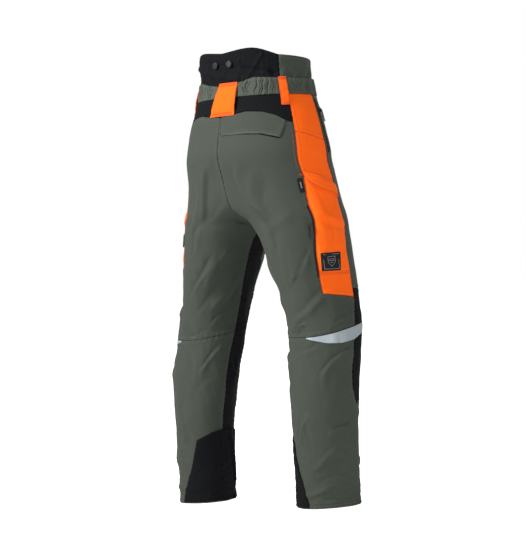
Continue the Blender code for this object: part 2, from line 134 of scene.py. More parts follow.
# ---------------------------------------------------------------- cloth surface
# A fold runs from one (phi, h) to another, with its half width and its height in metres.
FOLDS = (
    # crotch and seat
    (88, 0.90, 99, 0.75, 0.009, -0.0050),
    (74, 0.88, 90, 0.75, 0.008, 0.0045),
    (80, 0.87, 94, 0.74, 0.006, -0.0040),
    (66, 0.86, 84, 0.74, 0.010, 0.0030),
    (60, 0.84, 78, 0.72, 0.009, -0.0020),
    (50, 0.76, 96, 0.70, 0.014, 0.0025),
    # back of the thigh, running down and outwards from the inner seam
    (174, 0.59, 128, 0.49, 0.006, -0.0042),
    (168, 0.61, 124, 0.52, 0.010, 0.0034),
    (162, 0.66, 102, 0.52, 0.007, -0.0038),
    (150, 0.68, 108, 0.58, 0.011, 0.0030),
    (118, 0.66, 80, 0.55, 0.007, -0.0034),
    (124, 0.64, 92, 0.56, 0.010, 0.0026),
    (89, 0.74, 83, 0.66, 0.006, -0.0034),
    (97, 0.74, 90, 0.66, 0.008, 0.0022),
    # side of the thigh
    (31, 0.67, 78, 0.56, 0.008, -0.0026),
    (34, 0.65, 72, 0.58, 0.010, 0.0026),
    (22, 0.56, 88, 0.50, 0.007, -0.0036),
    (26, 0.54, 84, 0.49, 0.009, 0.0032),
    (-18, 0.52, 24, 0.47, 0.006, -0.0026),
    (-12, 0.50, 30, 0.465, 0.007, 0.0022),
    # back of the knee, short and sharp
    (72, 0.485, 98, 0.455, 0.0040, -0.0040),
    (66, 0.480, 92, 0.462, 0.0040, 0.0034),
    (104, 0.470, 126, 0.468, 0.0040, -0.0026),
    (60, 0.462, 90, 0.452, 0.0040, -0.0026),
    # shin
    (46, 0.435, 100, 0.400, 0.007, -0.0030),
    (52, 0.425, 96, 0.392, 0.009, 0.0026),
    (-6, 0.43, 46, 0.36, 0.006, -0.0032),
    (-2, 0.42, 42, 0.35, 0.010, 0.0028),
    (150, 0.44, 112, 0.38, 0.008, -0.0030),
    (146, 0.42, 112, 0.365, 0.010, 0.0026),
    (140, 0.36, 100, 0.31, 0.010, -0.0018),
    (72, 0.27, 95, 0.20, 0.007, -0.0034),
    (66, 0.26, 88, 0.19, 0.010, 0.0028),
    (-14, 0.245, 20, 0.215, 0.008, -0.0036),
    (-8, 0.235, 26, 0.205, 0.010, 0.0030),
    (84, 0.30, 62, 0.17, 0.008, -0.0026),
    (10, 0.17, 62, 0.12, 0.012, 0.0024),
    (-6, 0.12, 50, 0.09, 0.009, -0.0020),
    (30, 0.075, 84, 0.060, 0.007, 0.0020),
    (-20, 0.06, 40, 0.045, 0.006, -0.0018),
    (182, 0.20, 206, 0.06, 0.006, 0.0036),
    (176, 0.19, 200, 0.05, 0.005, -0.0036),
    (196, 0.22, 214, 0.12, 0.006, -0.0030),
    (176, 0.40, 190, 0.36, 0.007, -0.0036),
    (170, 0.38, 192, 0.345, 0.007, 0.0030),
    (172, 0.55, 188, 0.545, 0.004, -0.0022),
    # front
    (-172, 0.71, -96, 0.765, 0.010, 0.0040),
    (-170, 0.70, -92, 0.745, 0.007, -0.0034),
    (-165, 0.67, -80, 0.705, 0.010, 0.0034),
    (-160, 0.65, -86, 0.675, 0.007, -0.0030),
    (-96, 0.82, -40, 0.86, 0.012, 0.0024),
    (-70, 0.60, -120, 0.62, 0.010, 0.0024),
    (-50, 0.51, -84, 0.53, 0.007, -0.0024),
    (-130, 0.52, -92, 0.50, 0.007, -0.0022),
    (-56, 0.40, -100, 0.38, 0.008, -0.0024),
    (-132, 0.37, -84, 0.345, 0.010, 0.0026),
    (-60, 0.26, -112, 0.22, 0.009, 0.0030),
    (-140, 0.22, -80, 0.17, 0.008, -0.0030),
    (-58, 0.14, -110, 0.10, 0.010, 0.0026),
    (-130, 0.09, -80, 0.06, 0.008, -0.0022),
)


LEG_DEGREE = math.radians(1) * 0.105    # metres round a leg for one degree of phi
FOLD_GAIN = 1.9
MOST_RISE, MOST_SINK = 0.010, 0.0042


def wave(x, y, seed):
    """Soft uneven ground made of a few crossed sines, about -1 to 1."""
    total = np.zeros(np.broadcast(x, y).shape)
    for k in range(1, 6):
        turn = seed * 1.7 + k * 2.4
        total = total + np.sin(
            (x * math.cos(turn) + y * math.sin(turn)) * (1 + 0.47 * k) + seed * k * 1.3
            + 0.8 * np.sin(y * 0.7 + k + seed)
        )
    return total / 3.2


def fold_height(phi, h, side):
    """How far the cloth stands out from the body's smooth shape, in metres."""
    phi, h = np.broadcast_arrays(np.asarray(phi, float), np.asarray(h, float))
    out = np.zeros(phi.shape)
    for phi0, h0, phi1, h1, width, height in FOLDS:
        turned = np.where(phi < min(phi0, phi1) - 120, phi + 360, phi)
        turned = np.where(turned > max(phi0, phi1) + 180, turned - 360, turned)
        dx, dy = (phi1 - phi0) * LEG_DEGREE, h1 - h0
        length = math.hypot(dx, dy)
        x, y = (turned - phi0) * LEG_DEGREE, h - h0
        along = (x * dx + y * dy) / length**2
        sway = 0.004 * np.sin(along * 5.0 + phi0 * 0.1 + side)
        off = (x * dy - y * dx) / length + sway
        ends = np.clip(np.minimum(along + 0.15, 1.15 - along) / 0.4, 0, 1)
        ends = ends * ends * (3 - 2 * ends)
        crease = np.exp(-1.35 * (np.sqrt((off / width) ** 2 + 0.12) - 0.35))
        out = out + FOLD_GAIN * height * ends * crease
    ground = wave(phi * 0.06, h * 26, 1.0 + 0.5 * side) * 0.0011
    ground = ground + wave(phi * 0.13 + 4, h * 58, 2.0 + 0.5 * side) * 0.0005
    knee = np.exp(-(((h - 0.44) / 0.10) ** 2)) + np.exp(-((h / 0.13) ** 2))
    ground = ground * (0.7 + 0.8 * knee)
    calm = np.clip((1.06 - h) / 0.05, 0, 1)
    total = (out + ground) * calm
    sunk, risen = (most * np.tanh(total / most) for most in (MOST_SINK, MOST_RISE))
    return np.where(total < 0, sunk, risen)


SIM = {}             # side: grid of how far the simulation moves the leg's cloth
SETTLE_TOP = 0.715   # where the simulated cloth is held, below the crotch
MOST_DRIFT = 0.010


def base_point(phi, h, side, whole=False):
    """Point and level outward direction of the smooth body."""
    phi, h = np.broadcast_arrays(np.asarray(phi, float), np.asarray(h, float))
    x, y = raw_point(phi, h)
    x1, y1 = raw_point(phi + 0.5, h)
    x0, y0 = raw_point(phi - 0.5, h)
    nx, ny = y1 - y0, x0 - x1
    size = np.hypot(nx, ny)
    if not whole:
        x, nx = x * side, nx * side
    point = np.stack([x, y, h - WAIST_H], -1)
    normal = np.stack([nx / size, ny / size, np.zeros_like(nx)], -1)
    return point, normal


def cubic(grid, rows, cols):
    """Smooth reading of a grid of vectors at fractional rows and columns."""
    def weights(t):
        return (
            -0.5 * t + t * t - 0.5 * t**3,
            1 - 2.5 * t * t + 1.5 * t**3,
            0.5 * t + 2 * t * t - 1.5 * t**3,
            -0.5 * t * t + 0.5 * t**3,
        )

    r0, c0 = np.floor(rows).astype(int), np.floor(cols).astype(int)
    wr, wc = weights(rows - r0), weights(cols - c0)
    total = np.zeros(rows.shape + (3,))
    for a in range(4):
        i = np.clip(r0 + a - 1, 0, grid.shape[0] - 1)
        for b in range(4):
            j = np.clip(c0 + b - 1, 0, grid.shape[1] - 1)
            total += (wr[a] * wc[b])[..., None] * grid[i, j]
    return total


def still(phi, h):
    """1 beside a zip, where the tape holds the cloth flat, falling to 0 away from it."""
    def near(phi0, h0, phi1, h1):
        share = np.clip((h - h0) / (h1 - h0), 0, 1)
        x = (phi - phi0 - (phi1 - phi0) * share) * math.radians(1) * 0.13
        y = h - h0 - (h1 - h0) * share
        return np.clip((0.024 - np.hypot(x, y)) / 0.014, 0, 1)

    wrapped = np.where(phi > 180, phi - 360, phi)
    found = np.maximum(near(29, 0.592, 29.5, 0.770), near(-20, 0.905, -17, 1.04))
    fly = np.clip((0.030 - np.abs(wrapped + 90) * 0.0026) / 0.012, 0, 1) * (h > 0.89)
    found = np.maximum(found, fly)
    return found * found * (3 - 2 * found)


def cloth(phi, h, side, out=0.0, whole=False, calm=0.0):
    """Point of the folded cloth and its outward direction; `calm` takes the folds away."""
    phi, h = np.broadcast_arrays(np.asarray(phi, float), np.asarray(h, float))
    point, normal = base_point(phi, h, side, whole)
    if whole:
        turned = np.where(phi > 90, 180 - phi, phi)
        turned = np.where(turned < -90, -180 - turned, turned)
        lift = np.where(phi > 90, fold_height(turned, h, -1), fold_height(turned, h, 1))
    else:
        lift = fold_height(phi, h, side)
    calm = np.maximum(calm, still(phi, h))
    point = point + normal * (lift * (1 - calm) + out)[..., None]
    if whole:
        return point, normal
    limit = end_angle(h)
    share = np.clip(np.where(phi > 180, phi - 360, phi) / limit, -1, 1)
    if SIM:
        row = (h - HEM_H) / (SETTLE_TOP - HEM_H) * (SIM[side].shape[0] - 1)
        drift = cubic(SIM[side], row, (share + 1) / 2 * (SIM[side].shape[1] - 1))
        point = point + drift * (1 - calm)[..., None]
    meet = np.clip((np.abs(share) - 0.985) / 0.015, 0, 1) * (limit < 179.9)
    point[..., 0] = side * np.maximum(point[..., 0] * side * (1 - meet), GAP)
    normal[..., 0] *= 1 - meet
    return point, normal / np.linalg.norm(normal, axis=-1, keepdims=True)


# ---------------------------------------------------------------- mesh making
def new_object(name, points, faces, smooth=True):
    """A mesh object of these points and faces, with sharp edges kept sharp."""
    mesh = bpy.data.meshes.new(name)
    points = np.asarray(points, np.float32).reshape(-1, 3)
    mesh.vertices.add(len(points))
    mesh.vertices.foreach_set("co", points.ravel())
    sizes_of = np.array([len(f) for f in faces])
    loops = np.concatenate([np.asarray(f, np.int32) for f in faces])
    mesh.loops.add(len(loops))
    mesh.loops.foreach_set("vertex_index", loops)
    mesh.polygons.add(len(faces))
    mesh.polygons.foreach_set("loop_start", np.concatenate([[0], np.cumsum(sizes_of)[:-1]]))
    mesh.update(calc_edges=True)
    mesh.validate()
    obj = bpy.data.objects.new(name, mesh)
    bpy.context.scene.collection.objects.link(obj)
    if smooth:
        mesh.shade_smooth()
        mesh.set_sharp_from_angle(angle=math.radians(55))
    return obj


def shell_faces(rows, cols, start=0, flip=False):
    """Quads of a closed sheet made of an outer and an inner grid."""
    count = rows * cols
    i, j = np.meshgrid(np.arange(rows - 1), np.arange(cols - 1), indexing="ij")
    a = (i * cols + j).ravel()
    quads = np.stack([a, a + 1, a + 1 + cols, a + cols], -1)
    faces = [quads, quads[:, ::-1] + count]
    k = np.arange(cols - 1)
    low = np.stack([k + 1, k, k + count, k + 1 + count], -1)
    k = k + (rows - 1) * cols
    top = np.stack([k, k + 1, k + 1 + count, k + count], -1)
    k = np.arange(rows - 1) * cols
    first = np.stack([k, k + cols, k + cols + count, k + count], -1)
    k = k + cols - 1
    last = np.stack([k + cols, k, k + count, k + cols + count], -1)
    faces += [low, top, first, last]
    found = np.concatenate(faces) + start
    return found[:, ::-1] if flip else found


def spread(low, high, edge_a, edge_b, step=0.0036):
    """(phi, h) of a dense grid between two side edges phi(h) and two level edges h(phi)."""
    probe = np.linspace(0, 1, 9)
    middle = [float(np.mean(f(np.array([20.0, 90.0, 160.0])))) for f in (low, high)]
    h = middle[0] + (middle[1] - middle[0]) * probe
    across = np.abs(edge_b(h) - edge_a(h)).max()
    radius = 0.15 if middle[0] > 0.7 else 0.10
    cols = max(4, int(math.radians(across) * radius / step) + 2)
    rows = max(4, int(abs(middle[1] - middle[0]) / step) + 2)
    u, v = np.meshgrid(np.linspace(0, 1, cols), np.linspace(0, 1, rows))
    h = middle[0] + (middle[1] - middle[0]) * v
    for _ in range(8):
        phi = edge_a(h) + (edge_b(h) - edge_a(h)) * u
        h = low(phi) + (high(phi) - low(phi)) * v
    return phi, h


WIDER, LONGER = 1.020, 1.055    # how much more cloth is cut than the leg takes
BODY_INSIDE = 0.0035            # how far the body lies inside the cloth
CLOTH_SETTINGS = {
    "quality": 8,
    "mass": 0.4,
    "tension_stiffness": 30,
    "compression_stiffness": 30,
    "shear_stiffness": 12,
    "bending_stiffness": 3.0,
    "air_damping": 3,
}


def settle(side, rows=96, cols=88, frames=26):
    """Drift of a leg's cloth after it settles over the body, as a grid of vectors.

    The cloth is cut longer and wider than the leg, so between its held ends it buckles into folds.
    """
    h, phi = np.meshgrid(np.linspace(HEM_H, SETTLE_TOP, rows),
                         np.linspace(-180, 180, cols, endpoint=False), indexing="ij")
    start = cloth(phi, h, side, calm=0.5)[0]
    i, j = np.meshgrid(np.arange(rows - 1), np.arange(cols), indexing="ij")
    a, b = (i * cols + j).ravel(), (i * cols + (j + 1) % cols).ravel()
    faces = np.stack([a, b, b + cols, a + cols], -1)[:, ::side]
    loose = new_object("loose_cloth", start, faces)
    body = new_object("leg_inside", cloth(phi, h, side, -BODY_INSIDE, calm=1.0)[0], faces)
    body.modifiers.new("collision", "COLLISION")
    body.collision.thickness_outer = 0.0015

    middle = start.mean(axis=1, keepdims=True)
    cut = middle + (start - middle) * np.array([WIDER, WIDER, 1.0])
    cut[..., 2] = start[..., 2] * LONGER
    loose.shape_key_add(name="worn")
    rest = loose.shape_key_add(name="cut")
    rest.data.foreach_set("co", cut.astype(np.float32).ravel())
    held = loose.vertex_groups.new(name="held")
    held.add(list(range(2 * cols)) + list(range((rows - 3) * cols, rows * cols)), 1.0, "REPLACE")

    modifier = loose.modifiers.new("cloth", "CLOTH")
    for key, value in CLOTH_SETTINGS.items():
        setattr(modifier.settings, key, value)
    modifier.settings.rest_shape_key = rest
    modifier.settings.vertex_group_mass = held.name
    modifier.settings.effector_weights.gravity = 0.25
    modifier.collision_settings.distance_min = 0.0015
    modifier.collision_settings.use_self_collision = False
    scene = bpy.context.scene
    for frame_number in range(1, frames + 1):
        scene.frame_set(frame_number)
    mesh = loose.evaluated_get(bpy.context.evaluated_depsgraph_get()).data
    found = np.zeros(rows * cols * 3, np.float32)
    mesh.vertices.foreach_get("co", found)
    drift = found.reshape(rows, cols, 3).astype(float) - start
    scene.frame_set(1)
    for obj in (loose, body):
        bpy.data.objects.remove(obj)
    size = np.linalg.norm(drift, axis=-1, keepdims=True)
    drift = drift * np.minimum(1, MOST_DRIFT / np.maximum(size, 1e-9))
    return np.concatenate([drift, drift[:, :1]], axis=1)


def lengths(points, axis):
    """Length run so far along one axis of a grid of points."""
    step = np.linalg.norm(np.diff(points, axis=axis), axis=-1)
    zero = np.zeros_like(np.take(step, [0], axis=axis))
    return np.concatenate([zero, np.cumsum(step, axis=axis)], axis=axis)


def seams(points, h, sewn):
    """Distance to the nearest sewn edge and place along it.

    `sewn` names edges of the grid, each alone or with the heights it is sewn between.
    """
    across, up = lengths(points, 1), lengths(points, 0)
    options = {
        "a": (across, up),
        "b": (across[:, -1:] - across, up),
        "low": (up, across),
        "top": (up[-1:] - up, across),
    }
    edge_far = np.full(points.shape[:2], 1.0)
    along = np.zeros(points.shape[:2])
    for entry in sewn:
        key, low, high = (entry, -9.0, 9.0) if isinstance(entry, str) else entry
        far, run = options[key]
        far = np.hypot(far, np.maximum(0, np.maximum(low - h, h - high)))
        nearer = far < edge_far
        edge_far = np.where(nearer, far, edge_far)
        along = np.where(nearer, run, along)
    return edge_far, along


def attribute(obj, name, values):
    made = obj.data.attributes.new(name, "FLOAT", "POINT")
    made.data.foreach_set("value", np.asarray(values, np.float32).ravel())


def finish_cloth(obj, parts):
    """Adds the weave UV and the seam attributes from (u, v, edge, along) grids of each part."""
    values = [np.concatenate([np.concatenate([p[k].ravel()] * 2) for p in parts]) for k in range(4)]
    layer = obj.data.uv_layers.new(name="weave")
    index = np.zeros(len(obj.data.loops), np.int32)
    obj.data.loops.foreach_get("vertex_index", index)
    layer.data.foreach_set("uv", np.stack([values[0][index], values[1][index]], -1).ravel())
    attribute(obj, "seam", values[2])
    attribute(obj, "run", values[3])


def line_distance(points, spots, side, whole):
    """Distance from each grid point to a polyline of (phi, h), and the place along it."""
    spots = np.array(spots, float)
    fine = np.linspace(0, len(spots) - 1, 12 * len(spots))
    phi = np.interp(fine, range(len(spots)), spots[:, 0])
    h = np.interp(fine, range(len(spots)), spots[:, 1])
    path = cloth(phi, h, side, 0.0, whole)[0]
    far, along, run = np.full(points.shape[:2], 1.0), np.zeros(points.shape[:2]), 0.0
    for a, b in zip(path[:-1], path[1:]):
        step = b - a
        size = max(np.linalg.norm(step), 1e-9)
        share = np.clip((points - a) @ step / size**2, 0, 1)
        away = np.linalg.norm(points - a - share[..., None] * step, axis=-1)
        along = np.where(away < far, run + share * size, along)
        far = np.minimum(far, away)
        run += size
    return far, along


def panel(name, node, side, pieces, sewn, look, body="trousers", knee="", thick=CLOTH, out=0.0,
          whole=False, pucker=1.0, extra=None, calm=0.0, fell=1.0, seams_on=()):
    """One cloth panel from one or more (phi, h) grids, with sunk seams and small puckers.

    It stands for the CAD node. `calm` takes the folds away, `fell` is the ridge beside a seam, and
    `seams_on` are stitched lines across the cloth.
    """
    points, faces, parts, start = [], [], [], 0
    for (phi, h), edges in zip(pieces, sewn):
        flat, normal = cloth(phi, h, side, 0.0, whole, calm)
        far, along = seams(flat, h, edges)
        for spots in seams_on:
            other, place = line_distance(flat, spots, side, whole)
            along = np.where(other < far, place, along)
            far = np.minimum(far, other)
        lift = -0.0010 * np.exp(-((far / 0.0016) ** 2)) * (fell > 0)
        lift = lift + 0.0005 * fell * np.clip((0.0095 - far) / 0.0012, 0, 1)
        ripple = np.sin(along * 2 * math.pi / 0.0135 + 2.2 * np.sin(along * 31 + side))
        lift = lift + 0.0006 * pucker * ripple * np.exp(-far / 0.011)
        if extra is not None:
            lift = lift + extra(phi, h, far, along)
        outer = flat + normal * (thick + out + lift)[..., None]
        inner = flat + normal * (out + np.maximum(lift, 0) * 0.9 + np.minimum(lift, 0))[..., None]
        rows, cols = phi.shape
        points += [outer.reshape(-1, 3), inner.reshape(-1, 3)]
        i, j = rows // 2, cols // 2
        handed = np.cross(outer[i, j + 1] - outer[i, j], outer[i + 1, j] - outer[i, j])
        faces.append(shell_faces(rows, cols, start=start, flip=handed @ normal[i, j] < 0))
        start += 2 * rows * cols
        parts.append((lengths(flat, 1), flat[..., 2], far, along))
    obj = new_object(name, np.concatenate(points), np.concatenate(faces))
    finish_cloth(obj, parts)
    obj.data.materials.append(look)
    return keep(obj, node, body, knee)


ALL_ROUND = [("low", "top", "a", "b")]                  # one grid, sewn on all four edges
FLAT = {"calm": 1.0, "pucker": 0.0, "fell": 0.0}        # a piece with no folds and no seams


# ---------------------------------------------------------------- seam lines
def edge(*table):
    """A side edge: (h, phi) pairs."""
    return lambda h: line(h, table)


def rim(*table):
    """A lower or upper edge: (phi, h) pairs."""
    return lambda phi: line(phi, table)


def from_back(*table):
    """An edge alike on both sides of the centre back: (degrees from it, h) pairs."""
    return lambda phi: line(np.abs(np.asarray(phi) - 90), table)


def level(value):
    return lambda phi: np.full(np.shape(phi), float(value))


at_phi = level

side_rear = edge((0.552, 26), (0.60, 27), (0.70, 28), (0.76, 27), (0.84, 22.5), (1.05, 22))
side_front = edge((0.535, -25), (0.56, -24.5), (0.60, -24), (0.70, -20), (0.76, -17), (0.84, -14),
                  (0.95, -12.5), (1.05, -12.5))
knee_outer = edge((0.28, -30), (0.32, -15), (0.36, -13), (0.43, -13), (0.50, -20), (0.535, -26),
                  (0.56, -25.5))
shin_side = edge((0.0, -30), (0.28, -30), (0.32, -15), (0.36, -13), (0.43, -13), (0.50, -20))
inner_back = edge((0.0, 163), (0.23, 165), (0.43, 169), (0.50, 176), (0.56, 178), (0.64, 177),
                  (0.70, 175), (0.733, 180))
inner_front = edge((0.0, 222), (0.43, 222), (0.56, 219), (0.64, 209), (0.70, 189), (0.733, 180))
side_low = rim((-45, 0.535), (26, 0.552))
band_top = from_back((0, 1.081), (20, 1.090), (33, 1.098), (62, 1.094))


def back_top(phi):
    table = ((0, 1.1645), (30, 1.172), (62, 1.152))
    return smooth_curve(np.abs(np.asarray(phi, float) - 90), table, 1)


yoke_low = from_back((0, 1.004), (13, 1.009), (24, 1.0135), (39, 1.010), (51, 1.0),
                     (61, 0.984), (68, 0.979))
flap_low = rim((37, 0.942), (51, 0.954), (66, 0.957), (88, 0.957))
cargo_flap_low = rim((-19, 0.787), (-10, 0.792), (0, 0.799), (10, 0.807), (18, 0.820),
                     (23, 0.842))
cargo_flap_top = rim((-19, 0.822), (-8, 0.831), (8, 0.848), (23, 0.858))


def seat_inner(h):
    return np.minimum(inner_back(h), end_angle(h))


def front_inner(h):
    return -np.minimum(360 - inner_front(h), end_angle(h))


def knee_inner(h):
    return inner_front(h) - 360


# ---------------------------------------------------------------- materials
class Look:
    """A new material, with short ways to add nodes and join them."""

    def __init__(self, name):
        self.made = bpy.data.materials.new(name)
        self.made.use_nodes = True
        self.tree = self.made.node_tree
        self.shader = self.tree.nodes["Principled BSDF"]

    def fill(self, found, inputs):
        """Links each input whose value is a socket, and sets the others."""
        for key, value in inputs.items():
            if isinstance(value, bpy.types.NodeSocket):
                self.tree.links.new(value, found.inputs[key])
            else:
                found.inputs[key].default_value = value

    def node(self, kind, inputs=None, **settings):
        """Outputs of a new node."""
        found = self.tree.nodes.new(kind)
        for key, value in settings.items():
            setattr(found, key, value)
        self.fill(found, inputs or {})
        return found.outputs

    def math(self, operation, a, b=0.0, clamp=False):
        return self.node("ShaderNodeMath", {0: a, 1: b}, operation=operation, use_clamp=clamp)[0]

    def noise(self, place, scale, detail=2.0, roughness=0.5):
        return self.node("ShaderNodeTexNoise", {"Vector": place, "Scale": scale, "Detail": detail,
                                                "Roughness": roughness})[0]

    def mix(self, factor, a, b, blend_type="MIX"):
        a, b = (c if isinstance(c, bpy.types.NodeSocket) else (*c, 1.0) for c in (a, b))
        return self.node("ShaderNodeMix", {"Factor": factor, "A": a, "B": b},
                         data_type="RGBA", blend_type=blend_type)["Result"]

    def sine(self, value, pitch):
        return self.math("SINE", self.math("MULTIPLY", value, 2 * math.pi / pitch))

    def swing(self, noise, amount):
        """Noise turned into a change up and down, about 0."""
        return self.math("MULTIPLY", self.math("SUBTRACT", noise, 0.5), amount)

    def stripe(self, value, centre, half):
        """1 where value is within half of centre, with a soft edge."""
        away = self.math("ABSOLUTE", self.math("SUBTRACT", value, centre))
        return self.math("DIVIDE", self.math("SUBTRACT", half, away), half * 0.5, clamp=True)

    def surface(self, colour, rough, height, strength=0.6):
        """Joins colour, roughness and bump to the shader, and gives the material."""
        bump = self.node("ShaderNodeBump", {"Height": height, "Strength": strength,
                                            "Distance": 1.0})[0]
        self.fill(self.shader, {"Base Color": colour, "Roughness": rough, "Normal": bump})
        return self.made


def fabric(name, colour, thread, rough=0.85, sheen=0.10, weave=0.0011, depth=0.25,
           mottling=0.10, rows=(0.0022, 0.0082), rib=0.0, seam_shade=0.85, gloss=0.25):
    """Woven cloth: twill bump, melange, worn seam edges, painted shade in the seam grooves, and
    rows of stitches beside each seam.
    """
    look = Look(name)
    m = look.math
    uv = look.node("ShaderNodeUVMap", uv_map="weave")[0]
    seam, run = (look.node("ShaderNodeAttribute", attribute_name=key)["Fac"]
                 for key in ("seam", "run"))
    u, v = look.node("ShaderNodeSeparateXYZ", {0: uv})[:2]
    twill = look.sine(m("ADD", u, m("MULTIPLY", v, 1.15)), weave)
    cross = look.sine(m("SUBTRACT", u, v), weave * 0.63)
    woven = m("ADD", m("MULTIPLY", twill, 0.6), m("MULTIPLY", cross, 0.25))
    woven = m("ADD", woven, look.noise(uv, 1500.0, 3.0))
    cloud = look.noise(uv, 9.0, 4.0, 0.6)
    flecks = look.noise(uv, 320.0)

    dash = m("MULTIPLY", m("ADD", look.sine(run, 0.0034), 0.55), 3.0, clamp=True)
    lines = [look.stripe(seam, row, 0.00055) for row in rows]
    stitch = m("MULTIPLY", m("MAXIMUM", lines[0], lines[-1]), dash)
    # painted shade: the colour darkens within 1.6 mm of each sewn edge, as the seam groove's shadow
    sunk = look.stripe(seam, 0.0, 0.0016)

    shade = m("ADD", look.swing(cloud, mottling * 2.2), 1.0)
    shade = m("ADD", shade, look.swing(flecks, mottling * 1.6))
    shade = m("ADD", shade, m("MULTIPLY", look.stripe(seam, 0.0052, 0.004), 0.05))
    bright = look.node("ShaderNodeCombineColor", {0: shade, 1: shade, 2: shade})[0]
    tint = look.mix(1.0, colour, bright, "MULTIPLY")
    # the seam grooves are painted darker, as shade
    seam_shaded = look.mix(sunk, tint, [c * seam_shade * 0.5 for c in colour])
    mixed = look.mix(m("MULTIPLY", stitch, 0.8), seam_shaded, thread)
    look.fill(look.shader, {
        "Sheen Weight": sheen,
        "Sheen Roughness": 0.45,
        "Sheen Tint": (*[min(1, c * 2.5 + 0.1) for c in colour], 1.0),
        "Specular IOR Level": gloss,
    })
    height = m("ADD", m("MULTIPLY", woven, depth * 0.00012), m("MULTIPLY", stitch, 0.0005))
    if rib:
        height = m("ADD", height, m("MULTIPLY", look.sine(u, rib), 0.0003))
    return look.surface(mixed, m("ADD", look.swing(cloud, 0.12), rough), height, 0.8)


def plastic(name, colour, rough):
    """Moulded plastic with fine grain, scuffs and a little dust."""
    look = Look(name)
    m = look.math
    place = look.node("ShaderNodeTexCoord")["Object"]
    scuff = look.noise(place, 180.0, 6.0, 0.7)
    worn = m("MULTIPLY", m("SUBTRACT", scuff, 0.55), 5.0, clamp=True)
    mixed = look.mix(worn, colour, [c * 2.6 + 0.01 for c in colour])
    height = m("MULTIPLY", look.noise(place, 2600.0), 0.00004)
    return look.surface(mixed, m("ADD", m("MULTIPLY", worn, 0.2), rough), height)


def reflective(name, colour, hatching=0.0016):
    """Reflective tape: fine glass-bead grain, crossed hatching and handling marks."""
    look = Look(name)
    m = look.math
    uv = look.node("ShaderNodeUVMap", uv_map="weave")[0]
    u, v = look.node("ShaderNodeSeparateXYZ", {0: uv})[:2]
    hatch = m("MULTIPLY", look.sine(m("ADD", u, v), hatching),
              look.sine(m("SUBTRACT", u, v), hatching))
    beads, marks = look.noise(uv, 2400.0), look.noise(uv, 60.0, 5.0)
    shade = m("ADD", m("ADD", look.swing(beads, 0.25), look.swing(marks, 0.22)), 1.0)
    channels = {k: m("MULTIPLY", shade, channel) for k, channel in enumerate(colour)}
    look.fill(look.shader, {"Metallic": 0.25})
    height = m("ADD", m("MULTIPLY", hatch, 0.00005), m("MULTIPLY", beads, 0.00004))
    return look.surface(look.node("ShaderNodeCombineColor", channels)[0],
                        m("ADD", m("MULTIPLY", marks, 0.25), 0.32), height)


def thread(name, colour):
    """Twisted sewing thread."""
    look = Look(name)
    twist = look.noise(look.node("ShaderNodeTexCoord")["Object"], 3000.0)
    mixed = look.mix(twist, [c * 0.7 for c in colour], [min(1, c * 1.25) for c in colour])
    look.fill(look.shader, {"Sheen Weight": 0.2})
    return look.surface(mixed, 0.55, look.math("MULTIPLY", twist, 0.0001))


GREEN = fabric("green_cloth", (0.0440, 0.0520, 0.0405), (0.080, 0.095, 0.075))
BLACK = fabric("black_cloth", (0.0044, 0.0047, 0.0060), (0.010, 0.011, 0.014), sheen=0.02,
               mottling=0.16, gloss=0.10)
ORANGE = fabric("orange_cloth", (0.94, 0.118, 0.0008), (0.60, 0.045, 0.010), sheen=0.0,
                mottling=0.05, seam_shade=1.35)
RIB = fabric("gathered_band", (0.060, 0.070, 0.055), (0.070, 0.083, 0.065), mottling=0.12)
PAD = fabric("pad_cover", (0.62, 0.60, 0.52), (0.75, 0.74, 0.68), weave=0.002)
LINING = fabric("pocket_lining", (0.05, 0.05, 0.055), (0.07, 0.07, 0.075))
ELASTIC = fabric("elastic_web", (0.030, 0.031, 0.033), (0.05, 0.05, 0.05), rib=0.0022)
ZIP_TAPE = fabric("zip_tape_cloth", (0.010, 0.010, 0.012), (0.02, 0.02, 0.02), weave=0.0008)
LABEL = fabric("label_cloth", (0.0075, 0.0080, 0.0105), (0.02, 0.02, 0.024), weave=0.0006,
               rows=(0.0016,))
SILVER = reflective("silver_tape", (0.32, 0.37, 0.39))
PLASTIC = plastic("moulded_black", (0.0045, 0.0045, 0.0055), 0.5)
RED_THREAD = thread("red_thread", (0.50, 0.012, 0.022))
GREEN_THREAD = thread("green_thread", (0.070, 0.084, 0.066))
GREY_THREAD = thread("grey_thread", (0.30, 0.32, 0.33))


# ---------------------------------------------------------------- putting pieces on the frame
def keep(obj, node, body="trousers", knee=""):
    """Puts a piece on its body, or for a knee piece bakes its place into the mesh, and hides the
    CAD node it stands for.
    """
    if knee:
        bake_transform(obj)
    else:
        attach(obj, body)
    if node:
        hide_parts(node)
    return obj


# ---------------------------------------------------------------- leg panels
SIDE_SEAMS = (
    ((26, 0.958), (10, 0.950), (-18, 0.930)),
    ((26, 0.8500), (12, 0.8400), (-4, 0.8200), (-19, 0.8165)),
)
KNEE_SEAMS = (((-60, 0.475), (-150, 0.475)), ((-60, 0.395), (-150, 0.395)))
HEM_STITCH = HEM_H + 0.010
HEM_SEAM = (((-152, HEM_STITCH), (152, HEM_STITCH)),)


def seat_top(phi):
    return yoke_low(phi) - 0.0008


def knee_seam(phi):
    """Height of the seam round the knee, which rises from the back to the front."""
    y = raw_point(np.asarray(phi, float), KNEE_H)[1]
    rear = raw_point(np.linspace(60, 120, 61), KNEE_H)[1].max()
    return KNEE_H + KNEE_SLOPE * (rear - y)


def hem(phi, h, far, along):
    """A turned hem: a soft ridge above the lower edge."""
    return 0.0006 * np.exp(-(((h - HEM_H - 0.005) / 0.006) ** 2))


